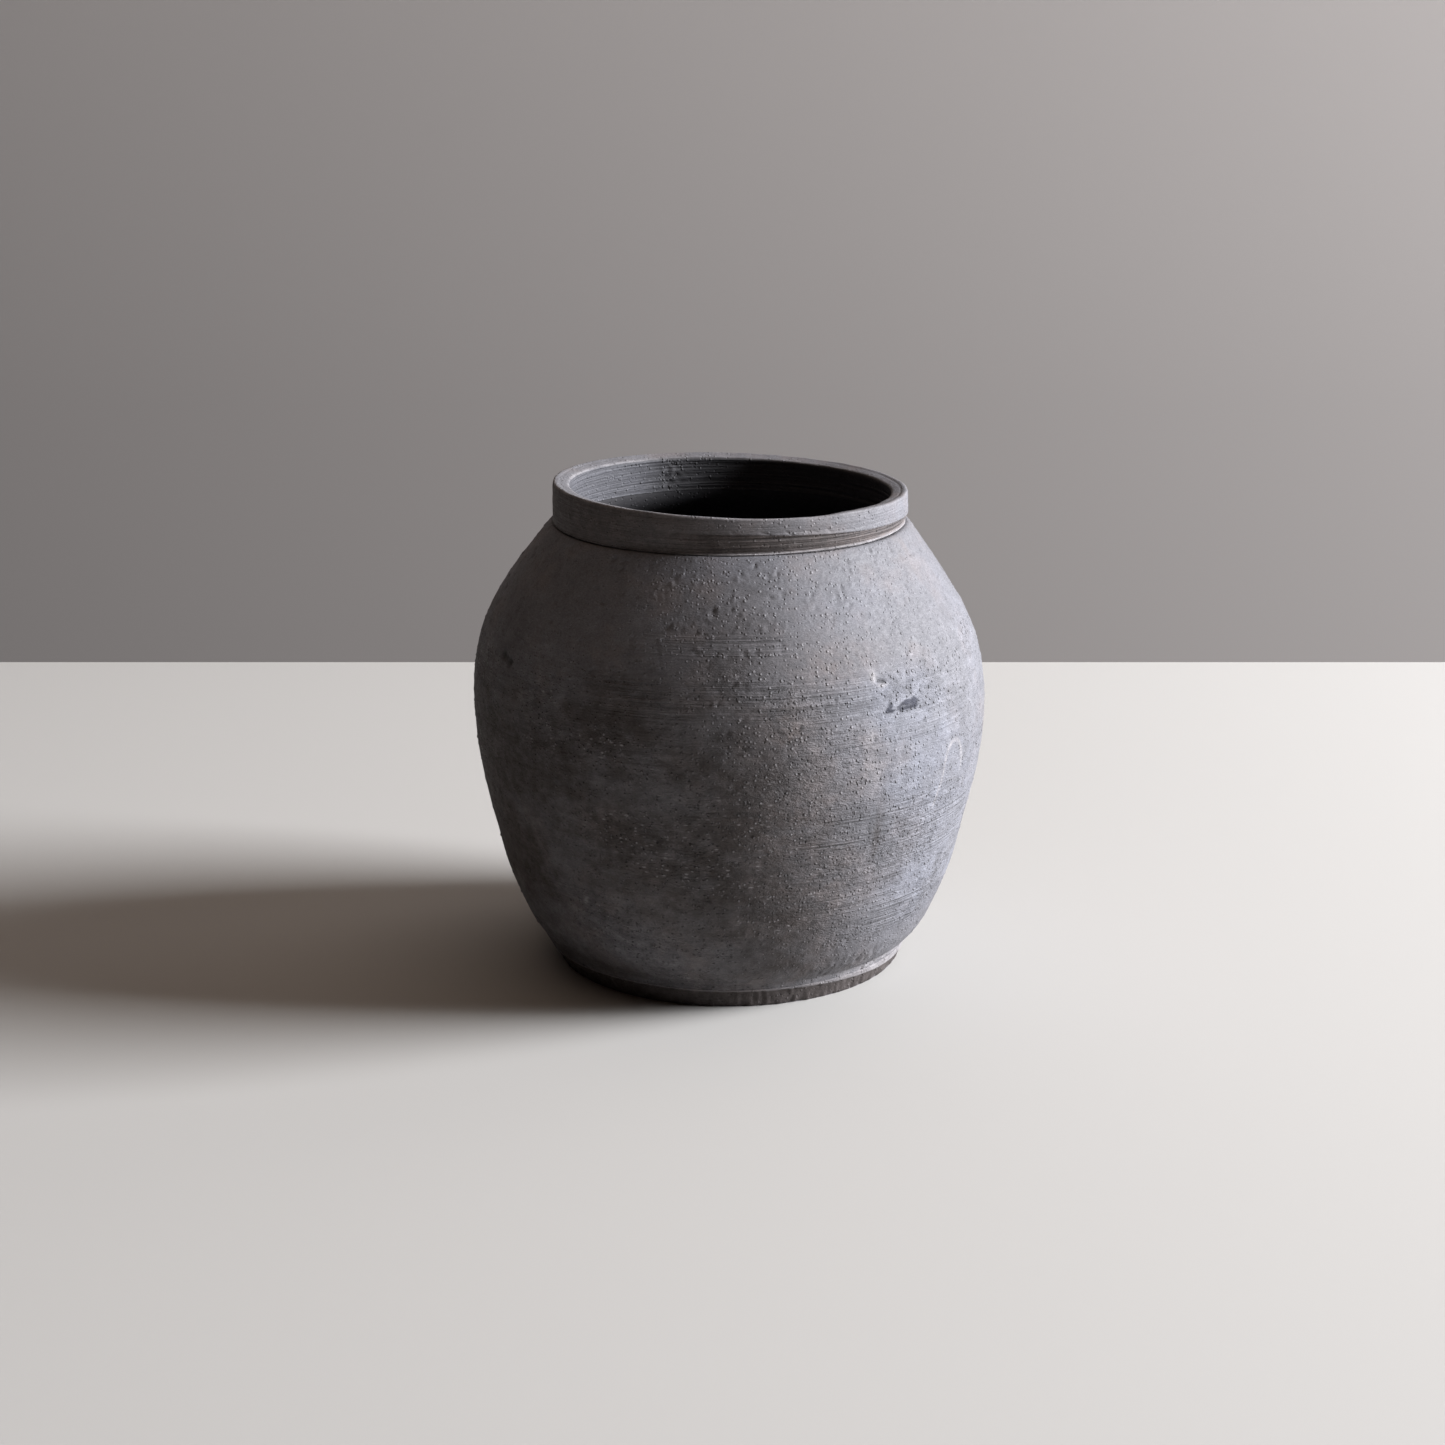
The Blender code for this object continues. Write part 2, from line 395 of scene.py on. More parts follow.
# Pale bluish patches, partly a chalky film on the clay and partly painted light and sheen on the lit
# right side: azimuth, height, wide, tall, strength.
BLOOM_AND_LIGHT_PATCHES = [
    (80, 176, 26, 14, 0.5),
    (78, 144, 22, 20, 0.6),
    (44, 116, 28, 26, 1.2),
    (66, 96, 30, 30, 0.55),
    (52, 58, 34, 30, 0.60),
    (74, 50, 26, 34, 0.55),
    (38, 142, 24, 12, 0.9),
    (52, 44, 22, 14, 0.5),
    (34, 180, 34, 12, 0.35),
    (-3, 196, 30, 5, 0.4),
]
INK_SPOTS = [
    (35.8, 137.0, 3.2, 1.2, 1.0),
    (36.6, 138.8, 1.8, 1.5, 1.0),
    (39.4, 137.5, 2.6, 1.6, 1.1),
    (41.2, 138.1, 2.8, 2.2, 1.4),
    (43.3, 138.5, 2.8, 2.3, 1.6),
]
# Bands of fine combing: azimuth, height, half its length in degrees, half its height, strength.
COMB_BANDS = [
    (4, 146, 31, 9, 1.0),
    (-4, 167, 18, 5, 0.8),
    (38, 130, 26, 8, 0.7),
    (40, 95, 20, 6, 0.9),
    (26, 81, 15, 5, 0.8),
    (29, 64, 16, 6, 0.9),
    (31, 51, 15, 5, 0.8),
    (52, 76, 22, 12, 0.6),
    (48, 40, 13, 9, 0.9),
]
# Cuts: azimuth and height of both ends, half width, depth (a ridge where it is negative).
CUTS = [
    (34.3, 150.0, 35.8, 149.2, 0.75, 1.00),
    (-15.2, 121.6, -12.9, 120.6, 0.7, 0.40),
    (40.0, 169.5, 53.0, 174.5, 0.6, 0.08),
    (62.0, 146.0, 72.0, 150.5, 0.6, 0.08),
    (-9.0, 124.5, -17.0, 127.5, 0.6, 0.12),
    (3.0, 119.5, -6.0, 118.5, 0.8, 0.14),
    (14.0, 111.5, 26.0, 110.5, 0.7, 0.22),
    (15.0, 108.9, 24.0, 108.3, 0.7, 0.20),
    (18.0, 106.2, 27.0, 105.8, 0.7, 0.14),
]
# Dents: azimuth, height, wide, depth, size of the crumb beside it.
DENTS = [
    (29.3, 181.7, 2.2, 0.34, 0.6),
    (31.6, 182.6, 1.7, 0.26, 0.5),
    (26.5, 175.0, 1.5, 0.30, 1.0),
    (27.6, 174.0, 1.3, 0.26, 1.0),
    (25.8, 173.6, 1.2, 0.22, 1.0),
    (-60.8, 152.0, 2.6, 1.05, 0.3),
    (-59.2, 151.4, 2.0, 1.00, 0.0),
    (-57.4, 150.2, 2.6, 1.05, 0.3),
    (33.0, 151.8, 2.4, -0.20, 0.4),
    (35.5, 154.5, 1.8, -0.18, 0.6),
]
PALE_SPOTS = [
    (-36.7, 51, 1.3, 1.8, 0.7),
    (-0.7, 8.7, 1.2, 1.0, 0.6),
    (33.3, 152.2, 1.6, 2.6, 0.9),
    (35.2, 148.1, 2.4, 0.9, 0.9),
    (31.5, 112, 4.0, 8, 0.45),
    (30.8, 128, 3.5, 5, 0.40),
]
LOOP_SCRATCH = (57.5, 103.0, 8.0, 13.0)      # azimuth, height, half width, half height of its arch
SANDY_CENTRE = (10, 90, 60, 36)              # azimuth, height, wide, tall of the roughest clay
FOOT_STROKES = (36, 19.5, 24, 4.5)           # the same of the upright tool strokes over the foot
UNCOMBED_AZIMUTH = -65                       # the left side is smoother than the rest
UNCOMBED_REACH = 28
LEDGE_AZIMUTH = 60                           # where the ledge over the foot is palest, partly dusty and partly painted highlight
LEDGE_HEIGHT = 10.4

# Wheel marks fade in over the first pair of heights and out over the second, and so does the sand.
WHEELED_FROM = (26 * MM, 50 * MM)
WHEELED_TO = (150 * MM, 172 * MM)
SANDY_TO = (148 * MM, 172 * MM)

# Small pits, big pits and pimples: how many on each half of the wall, sizes, depths, crumb beside.
WALL_PITS = [
    (800, (0.9, 1.4), (0.14, 0.50), 1.3),
    (40, (1.4, 2.3), (0.14, 0.34), 0.8),
    (900, (0.8, 1.1), (-0.30, -0.10), 0.5),
]
COLLAR_PITS = (60, (0.8, 1.2), (0.08, 0.2), 1.0)
CRUMB_SIDE = 2.6                             # the side of a dent that its crumb lies on, in radians


def spot(angle, skin, azimuth, height, wide, tall):
    """1 at a place on the skin, fading out over wide by tall millimetres."""
    across = np.radians(degrees_from(angle, azimuth)) * skin[:, :1] / MM
    return bell(across, wide) * bell(skin[:, 1:] / MM - height, tall)


def cut(angle, skin, azimuth, height, end_azimuth, end_height, width):
    """1 along a straight stroke between two places, fading out over its width."""
    scale = np.radians(1) * skin[:, :1] / MM
    run = degrees_from(math.radians(end_azimuth), azimuth) * scale
    rise = end_height - height
    across = degrees_from(angle, azimuth) * scale
    up = skin[:, 1:] / MM - height
    along = np.clip((across * run + up * rise) / (run ** 2 + rise ** 2), 0, 1)
    return bell(np.hypot(across - along * run, up - along * rise), width)


def paint(points, angle, skin, strokes, ragged):
    """A 0 to 1 mask of soft spots whose edges are broken up by noise."""
    total = np.zeros(angle.shape)
    for azimuth, height, wide, tall, strength in strokes:
        total += strength * spot(angle, skin, azimuth, height, wide, tall)
    broken = 0.6 * RAGGED(points, (11, 11, 6)) + 0.4 * RAGGED(points, (3.5, 3.5, 2.5))
    return np.clip(total * (1 + ragged * broken), 0, 1)


def scattered(seed, count, heights, wide, tall, strength):
    """Random spots for the sides and the back, which keep clear of the viewer's side."""
    random = np.random.default_rng(seed)
    return [(random.uniform(105, 305), random.uniform(*heights), random.uniform(*wide),
             random.uniform(*tall), random.uniform(*strength)) for _ in range(count)]


def darkness(depth):
    """Painted shade: how dark a mark of a depth in millimetres is painted; ridges and shallow marks get
    none.
    """
    return float(np.clip((depth - 0.18) * 1.2, 0, 1))


def press(lift, hollow_shade, angle, skin, azimuth, height, wide, depth, crumb, crumb_side):
    """Presses one round dent with a crumb beside it into the lift, and paints shade into the dent."""
    rows = skin[:, 1]
    reach = 2.6 * wide * MM
    near = np.nonzero(np.abs(rows - height * MM) < reach)[0]
    if len(near) == 0:
        return
    radius = skin[near[len(near) // 2], 0]
    centre = int(round(azimuth / 360 * COLUMNS))
    half = int(math.ceil(reach / (2 * math.pi * radius / COLUMNS)))
    block = np.ix_(near, np.arange(centre - half, centre + half + 1) % COLUMNS)
    u = np.radians(degrees_from(angle[block], azimuth)) * radius / (wide * MM)
    v = (rows[near][:, None] / MM - height) / wide
    bowl = np.exp(-(u ** 2 + v ** 2) * 1.6)
    heap = np.exp(-((u - math.cos(crumb_side)) ** 2 + (v - math.sin(crumb_side)) ** 2) * 2.4)
    lift[block] += depth * MM * (crumb * heap - bowl)
    hollow_shade[block] = np.maximum(hollow_shade[block], bowl * darkness(depth))


def pits(lift, hollow_shade, seed, angle, skin, count, sizes, depths, crumb):
    """Small pits and the crumbs that the rib dragged out of them, all over the skin."""
    random = np.random.default_rng(seed)
    low, high = skin[0, 1] / MM, skin[-1, 1] / MM
    for _ in range(count):
        size = sizes[0] + random.uniform(0, 1) ** 2 * (sizes[1] - sizes[0])
        press(lift, hollow_shade, angle, skin, random.uniform(0, 360), random.uniform(low, high), size,
              random.uniform(*depths), crumb * random.uniform(0.2, 1.2), random.uniform(0, 2 * math.pi))


def score(lift, hollow_shade, angle, skin, cuts, where=1.0):
    """Draws straight cuts into the lift, and paints shade into the deep ones."""
    for *stroke, depth in cuts:
        trace = where * cut(angle, skin, *stroke)
        lift -= depth * MM * trace
        np.maximum(hollow_shade, trace * darkness(depth), out=hollow_shade)


def loop_scratch(angle, skin):
    """A hairline arch scratched into the right side."""
    azimuth, height, wide, tall = LOOP_SCRATCH
    across = np.radians(degrees_from(angle, azimuth)) * skin[:, :1] / MM / wide
    up = (skin[:, 1:] / MM - height) / tall
    across = across - 0.5 * np.minimum(up, 0)
    ring = np.hypot(across, np.maximum(up, 0))
    left_leg = smoothstep(-1.25, -0.95, up)
    right_leg = smoothstep(-0.35, 0.1, up)
    return bell((ring - 1) * wide, 0.6) * np.where(across < 0, left_leg, right_leg)


def combing(points, angle):
    """How strongly the wall is combed at each point, 0 to 1."""
    z = points[..., 2]
    back_bands = scattered(41, 26, (40, 172), (15, 45), (3, 9), (0.5, 1.0))
    comb = np.zeros(angle.shape)
    for azimuth, height, half_length, half_height, strength in COMB_BANDS + back_bands:
        off_middle = np.abs(degrees_from(angle, azimuth))
        ends = 1 - smoothstep(0.7 * half_length, 1.2 * half_length, off_middle)
        edges = 1 - smoothstep(0.7 * half_height, 1.1 * half_height, np.abs(z / MM - height))
        comb = np.maximum(comb, strength * ends * edges)
    wheeled = smoothstep(*WHEELED_FROM, z) * (1 - smoothstep(*WHEELED_TO, z))
    comb = np.maximum(comb, 0.18 * wheeled) * (0.75 + 0.6 * FINE(points, (30, 30, 8)))
    smooth_side = bell(degrees_from(angle, UNCOMBED_AZIMUTH), UNCOMBED_REACH)
    return np.clip(comb, 0, 1) * (1 - 0.85 * smooth_side)


def wall_stains_and_light(points, angle, skin):
    """The wall's colour masks, given one by one on the viewer's side and at random behind: stains, with
    painted shade in the dark clouds, painted light in the pale bluish patches and painted highlight on
    the ledge.
    """
    back_smoke = scattered(51, 9, (25, 150), (18, 45), (10, 26), (0.4, 0.9))
    back_warm = scattered(52, 16, (25, 170), (8, 26), (5, 12), (0.3, 0.8))
    back_bloom = scattered(53, 10, (60, 190), (16, 34), (8, 20), (0.3, 0.8))
    ink = paint(points, angle, skin, INK_SPOTS, 0.4) * (1 + 0.6 * FINE(points, (2.2, 2.2, 1.2)))
    # Painted highlight: the ledge over the foot is painted pale on the lit right, partly dusty.
    ledge = bell(points[..., 2] / MM - LEDGE_HEIGHT, 1.9) * bell(degrees_from(angle, LEDGE_AZIMUTH), 34)
    ledge *= 0.65 + 0.5 * RAGGED(points, (5, 5, 2))
    pale = paint(points, angle, skin, PALE_SPOTS, 0.6) + 0.8 * loop_scratch(angle, skin)
    return {
        "smoke_and_shade": paint(points, angle, skin, SMOKE_AND_SHADE_CLOUDS + back_smoke, 0.5),
        "warm": paint(points, angle, skin, WARM_PATCHES + back_warm, 0.8),
        "bloom_and_light": paint(points, angle, skin, BLOOM_AND_LIGHT_PATCHES + back_bloom, 0.5),
        "ink": smoothstep(0.35, 0.75, ink),
        "dust_and_highlight": np.clip(pale + ledge, 0, 1),
    }


def body_relief(points, angle, skin):
    """Wheel marks, combing, grit, pits, dents and cuts of the wall's outside, and its masks."""
    comb = combing(points, angle)
    lines = STREAK(points, (60, 60, 2.0)) + 0.5 * STREAK(points, (80, 80, 3.7))
    sandy = 1 - smoothstep(*SANDY_TO, points[..., 2])
    rough = 0.22 + 0.55 * smoothstep(-0.1, 0.6, RAGGED(points, (26, 26, 18)))
    rough = sandy * np.clip(rough + 0.5 * spot(angle, skin, *SANDY_CENTRE), 0, 1)

    lift = 0.26 * MM * COARSE(points, (60, 60, 24)) + 0.10 * MM * COARSE(points, (20, 20, 10))
    lift += 0.10 * MM * STREAK(points, (90, 90, 6.5))
    lift += MM * lines * (0.03 + 0.16 * comb)
    lift += MM * (0.02 + 0.05 * rough) * FINE(points, (2.4, 2.4, 1.9))
    lift += 0.60 * MM * spot(angle, skin, *FOOT_STROKES) * STREAK(points, (1.9, 1.9, 14))

    hollow_shade = np.zeros(angle.shape)
    seed = int(skin[0, 1] / MM)
    for offset, kind in enumerate(WALL_PITS, 1):
        pits(lift, hollow_shade, seed + offset, angle, skin, *kind)
    for dent in DENTS:
        press(lift, hollow_shade, angle, skin, *dent, CRUMB_SIDE)
    score(lift, hollow_shade, angle, skin, CUTS)
    return lift, {**wall_stains_and_light(points, angle, skin), "comb": comb, "rough": rough, "hollow_shade": hollow_shade}


WALL_SPIRAL_PITCH = 13.0 * MM
FLOOR_SPIRAL_PITCH = 11.0 * MM


def inner_relief(points, angle):
    """The spiral that the potter's fingers left inside."""
    turn = points[..., 2] / WALL_SPIRAL_PITCH - angle / (2 * math.pi)
    return 0.30 * MM * np.sin(2 * math.pi * turn) + 0.3 * MM * COARSE(points, (40, 40, 20))


def wall_profile(low, high, spacing):
    """The outside of a stretch of the wall, from its bottom up."""
    heights = np.linspace(low, high, 200)
    return resample(np.stack([smooth_curve(WALL_STATIONS, heights), heights], axis=-1), spacing)


def wall_lining(low, high, spacing):
    """The inside of the same stretch, from its top down."""
    skin = wall_profile(low, high, 1.0 * MM)
    return resample((skin - square_to(skin) * WALL_THICKNESS)[::-1], spacing)


def make_lower_wall():
    seat = FOOT_TOP + 0.02 * MM
    sole = [(SEAT_RADIUS + 0.4 * MM, seat), (FOOT_RADIUS - 0.6 * MM, seat)]
    ledge = [
        (FOOT_RADIUS + 0.2 * MM, seat),
        (FOOT_RADIUS + 0.6 * MM, seat + 0.9 * MM),
        (FOOT_RADIUS + 0.9 * MM, seat + 2.6 * MM),
    ]
    outline = ledge + wall_profile(WALL_START, BELLY_JOIN, 1.0 * MM).tolist()
    skin = np.concatenate([sole, rounded(outline, LOWER_WALL_ROW, 1)])
    ridge = [(BELLY_RADIUS - WALL_THICKNESS / 2, BELLY_JOIN + 2.4 * MM)]
    inside = wall_lining(LINING_START, BELLY_JOIN - 2.0 * MM, 3.0 * MM).tolist()
    floor = [
        (FOOT_RADIUS - 5.2 * MM, WALL_FOOT + 3.4 * MM),
        (FOOT_RADIUS - 6.6 * MM, WALL_FOOT),
        (SEAT_RADIUS - 0.3 * MM, WALL_FOOT),
    ]
    return turned("lower_wall_clay", skin, np.array(ridge + inside + floor), body_relief, inner_relief)


def make_upper_wall():
    lip = [
        (COLLAR_RADIUS + 0.6 * MM, COLLAR_FOOT - 0.5 * MM),
        (COLLAR_RADIUS - 0.4 * MM, COLLAR_FOOT + 0.25 * MM),
        (COLLAR_RADIUS - 2.2 * MM, COLLAR_FOOT - 0.3 * MM),
    ]
    outline = wall_profile(BELLY_JOIN - 0.2 * MM, WALL_END, 1.0 * MM).tolist() + lip
    skin = rounded(outline, UPPER_WALL_ROW, 1)
    neck = [(THROAT_RADIUS + 0.1 * MM, COLLAR_FOOT - 0.2 * MM),
            (THROAT_RADIUS + 0.9 * MM, COLLAR_FOOT - 4.3 * MM)]
    inside = wall_lining(BELLY_JOIN + 2.0 * MM, LINING_END, 2.2 * MM).tolist()
    return turned("upper_wall_clay", skin, np.array(neck + inside), body_relief, inner_relief)


BEAD_HEIGHT = 0.7        # mm over the collar's foot, of the thin bead of clay squeezed out there
SEAM_RADIUS = 4.3        # mm out from the mouth, of the seam on top of the rim
SCAR = (-157.6, 207.5, 5.0, 7.0)     # azimuth, height, wide, tall of the scar inside the rim

# Nicks and ticks on the collar's face: azimuth and height of both ends, half width, depth.
COLLAR_CUTS = [
    (-7.0, 212.5, -5.6, 210.6, 0.5, 0.22),
    (0.5, 211.8, 2.2, 210.2, 0.5, 0.22),
    (9.5, 211.5, 12.0, 210.2, 0.5, 0.20),
    (17.0, 211.9, 19.0, 209.9, 0.6, 0.28),
    (24.5, 211.2, 27.5, 210.6, 0.5, 0.20),
    (31.0, 211.6, 32.6, 209.6, 0.6, 0.25),
    (38.0, 210.4, 40.6, 209.8, 0.5, 0.18),
    (-33.0, 210.5, -32.8, 207.5, 0.6, -0.20),
    (-62.0, 212.0, -61.5, 207.0, 0.7, -0.22),
    (-70.0, 211.0, -69.5, 208.0, 0.7, -0.18),
    (-10.5, 204.5, -9.5, 204.3, 0.9, -0.28),
    (-4.0, 205.6, -3.2, 205.4, 0.8, -0.24),
]


def collar_relief(points, angle, skin):
    """Throwing lines and a browner belt low on the collar's face, nicks, a scar, pale edges and a pale
    bead that are partly wear and partly painted highlight, and painted shade in the fold below the
    collar, on the face's left and inside.
    """
    azimuth = degrees_from(angle, 0)
    behind = degrees_from(angle, 180)
    out = square_to(skin)
    face = smoothstep(0.3, 0.7, out[:, :1])
    top = smoothstep(0.3, 0.7, out[:, 1:])
    inside = smoothstep(0.3, 0.7, -out[:, :1])
    above = (skin[:, 1:] - COLLAR_FOOT) / MM
    from_mouth = (skin[:, :1] - MOUTH_RADIUS) / MM
    from_outside = (skin[:, :1] - COLLAR_RADIUS) / MM

    # The belt is scored into the front and right of the face, and its top edge falls to the right.
    belt_top = 10.6 - 3.2 * smoothstep(0, 60, azimuth) - 2.2 * smoothstep(55, 95, azimuth)
    belt_span = smoothstep(-26, 8, azimuth) * (1 - smoothstep(140, 178, azimuth))
    belt = face * belt_span * (1 - smoothstep(belt_top - 0.5, belt_top + 0.4, above))
    squeezed = bell(above - BEAD_HEIGHT, 0.38) * smoothstep(0.0, 0.4, out[:, :1])
    bead = belt_span * squeezed
    lines = STREAK(points, (80, 80, 1.05)) + 0.6 * STREAK(points, (60, 60, 0.8))
    scar = inside * spot(angle, skin, *SCAR)

    lift = 0.20 * MM * COARSE(points, (30, 30, 14)) + 0.06 * MM * FINE(points, (6, 6, 5))
    lift += 0.16 * MM * face * STREAK(points, (70, 70, 3.6))
    lift += MM * belt * (-0.42 + 0.24 * lines)
    lift += 0.16 * MM * face * belt_span * bell(above - belt_top - 0.6, 0.9)
    lift += MM * (0.55 + 0.25 * belt_span) * squeezed
    lift -= 0.35 * MM * belt_span * bell(above - BEAD_HEIGHT - 1.3, 0.6)
    lift += MM * (0.04 * face + 0.09 * inside) * lines
    lift += MM * scar * (0.55 * FINE(points, (2.2, 2.2, 2.0)) - 0.25)

    # The flat of the rim dips a little in front, rises to the right and shows the collar's seam.
    rise = smoothstep(30, 42, azimuth) * (1 - smoothstep(80, 120, azimuth))
    lift += top * MM * (0.45 * rise - 0.4 * bell(azimuth - 12, 18))
    lift += top * 0.12 * MM * FINE(points, (7, 7, 7))
    open_seam = np.clip(0.5 + STREAK(points, (25, 25, 25)) + bell(azimuth - 78, 30), 0, 1)
    lift -= 0.16 * MM * top * bell(from_mouth - SEAM_RADIUS, 0.5) * open_seam

    # Painted shade darkens the inside, but for its left side, where the light falls in.
    hollow_shade = 0.85 * inside * smoothstep(38, 20, behind)
    outside = skin[:int(len(skin) * 0.4)]
    pits(lift, hollow_shade, 31, angle, outside, *COLLAR_PITS)
    score(lift, hollow_shade, angle, skin, COLLAR_CUTS, where=face)

    # Paler edges: the outer top edge, most on the front left, and the mouth's edge, partly wear and
    # partly painted highlight.
    edge = bell(from_outside + 1.5, 0.6) * smoothstep(0.1, 0.5, out[:, 1:])
    mouth = bell(from_mouth - 0.5, 0.6) * smoothstep(0.0, 0.4, out[:, 1:])
    worn_and_lit = np.clip(edge * (0.35 + 0.5 * bell(azimuth + 60, 60)) + 0.7 * mouth, 0, 1)
    worn_and_lit = worn_and_lit * (0.7 + 0.5 * RAGGED(points, (5, 5, 5)))
    # Painted shade: the fold under the collar's foot, left of the belt, is darkened and warmed.
    crease_shade = face * bell(above, 2.6) * smoothstep(-40, -22, azimuth) * (1 - belt_span)
    # Painted shade: the collar's face is darker and warmer towards its shaded left.
    left_face_shade = face * bell(azimuth + 50, 60)
    smoked_belt = belt * (0.75 - 0.4 * smoothstep(25, 70, azimuth)) * (1 - bead)
    return lift, {
        "smoke_and_shade": np.clip(0.8 * left_face_shade + smoked_belt + 0.5 * scar + 0.9 * crease_shade, 0, 1),
        "warm": np.clip(belt + crease_shade + 0.6 * left_face_shade, 0, 1),
        # Painted light: the collar's face is paler and bluer towards the lit right.
        "bloom_and_light": 0.35 * face * bell(azimuth - 70, 35) * (1 - belt),
        # Painted pale: the rim's edges and the bead squeezed out at the collar's foot, partly dusty wear
        # and partly painted highlight.
        "dust_and_highlight": np.clip(worn_and_lit + 1.2 * bead, 0, 1),
        "comb": np.clip(0.25 + 0.75 * belt + 0.25 * inside, 0, 1) * (1 - top),
        "rough": scar,
        "hollow_shade": hollow_shade,
        "inside": inside,
    }


def make_collar():
    foot = COLLAR_FOOT
    outline = [
        (COLLAR_RADIUS - 3.0 * MM, foot + 0.2 * MM),
        (COLLAR_RADIUS - 1.6 * MM, foot + 0.4 * MM),
        (COLLAR_RADIUS - 1.1 * MM, foot + 1.6 * MM),
        (COLLAR_RADIUS - 0.7 * MM, foot + 5.5 * MM),
        (COLLAR_RADIUS - 0.6 * MM, foot + 9.5 * MM),
        (COLLAR_RADIUS - 0.7 * MM, HEIGHT - 3.0 * MM),
        (COLLAR_RADIUS - 1.0 * MM, HEIGHT - 0.9 * MM),
        (COLLAR_RADIUS - 1.7 * MM, HEIGHT - 0.3 * MM),
        (COLLAR_RADIUS - 2.4 * MM, HEIGHT - 0.35 * MM),
        (MOUTH_RADIUS + 1.0 * MM, HEIGHT - LAND_DISH),
        (MOUTH_RADIUS + 0.2 * MM, HEIGHT - LAND_DISH - 0.5 * MM),
        (MOUTH_RADIUS, HEIGHT - LAND_DISH - 1.4 * MM),
        (THROAT_RADIUS - 0.6 * MM, foot + 8.0 * MM),
        (THROAT_RADIUS, foot),
    ]
    skin = rounded(outline, COLLAR_ROW, 2)
    middle = (COLLAR_RADIUS + MOUTH_RADIUS) / 2
    lining = np.array([(middle - 0.5 * MM, foot + 0.4 * MM), (middle + 0.5 * MM, foot + 0.4 * MM)])
    return turned("rim_collar_clay", skin, lining, collar_relief)


def foot_relief(points, angle, skin):
    """Upright tool strokes on the disc's edge; the ledge dips and is painted pale on the right, partly
    dusty and partly painted highlight, and the face below it gets painted shade.
    """
    azimuth = degrees_from(angle, 0)
    out = square_to(skin)
    face = smoothstep(0.3, 0.7, out[:, :1])
    up = skin[:, 1:] / MM
    ledge_height = 8.2 - 2.8 * bell(azimuth - 72, 40)
    ledge = face * smoothstep(ledge_height - 0.7, ledge_height + 0.2, up)
    lift = 0.10 * MM * face * COARSE(points, (16, 16, 8))
    lift += MM * face * (1 - ledge) * (0.45 * FINE(points, (1.8, 1.8, 12)) - 0.30)
    lift += 0.35 * MM * ledge * bell(azimuth - 68, 45)
    # Painted highlight: the ledge is painted pale where the light strikes it, partly dusty.
    dust_and_highlight_share = 0.85 * bell(azimuth - LEDGE_AZIMUTH, 38) + 0.4 * np.clip(STREAK(points, (30, 30, 30)), 0, 1)
    return lift, {
        # Painted shade: the undercut face below the ledge is darkened.
        "smoke_and_shade": face * (1 - ledge),
        "warm": 0.5 * face,
        "dust_and_highlight": np.clip(ledge * dust_and_highlight_share * (0.9 + 0.4 * RAGGED(points, (4, 4, 2))), 0, 1),
    }


def floor_relief(points, angle):
    """The same finger spiral on the floor inside."""
    radius = np.hypot(points[..., 0], points[..., 1])
    turn = radius / FLOOR_SPIRAL_PITCH + angle / (2 * math.pi)
    fade = smoothstep(70 * MM, 60 * MM, radius)
    return 0.25 * MM * (np.sin(2 * math.pi * turn) - 1) * fade


def make_foot():
    outline = [
        (REST_RADIUS - 1.6 * MM, 0.0),
        (REST_RADIUS - 0.5 * MM, 0.0),
        (REST_RADIUS + 0.2 * MM, 0.7 * MM),
        (FOOT_RADIUS - 0.3 * MM, FOOT_TOP - 1.6 * MM),
        (FOOT_RADIUS + 0.1 * MM, FOOT_TOP - 0.7 * MM),
        (FOOT_RADIUS + 0.1 * MM, FOOT_TOP - 0.05 * MM),
        (SEAT_RADIUS - 0.8 * MM, FOOT_TOP - 0.05 * MM),
    ]
    skin = rounded(outline, FOOT_ROW, 1)
    top = np.array([(radius * MM, FOOT_TOP) for radius in range(76, 0, -3)])
    base = np.array([(radius * MM, 0.9 * MM * smoothstep(74, 62, radius))
                     for radius in range(75, 0, -5)])
    return turned("foot_disc_clay", skin, top, foot_relief, floor_relief, base)


# ---------------------------------------------------------------- materials

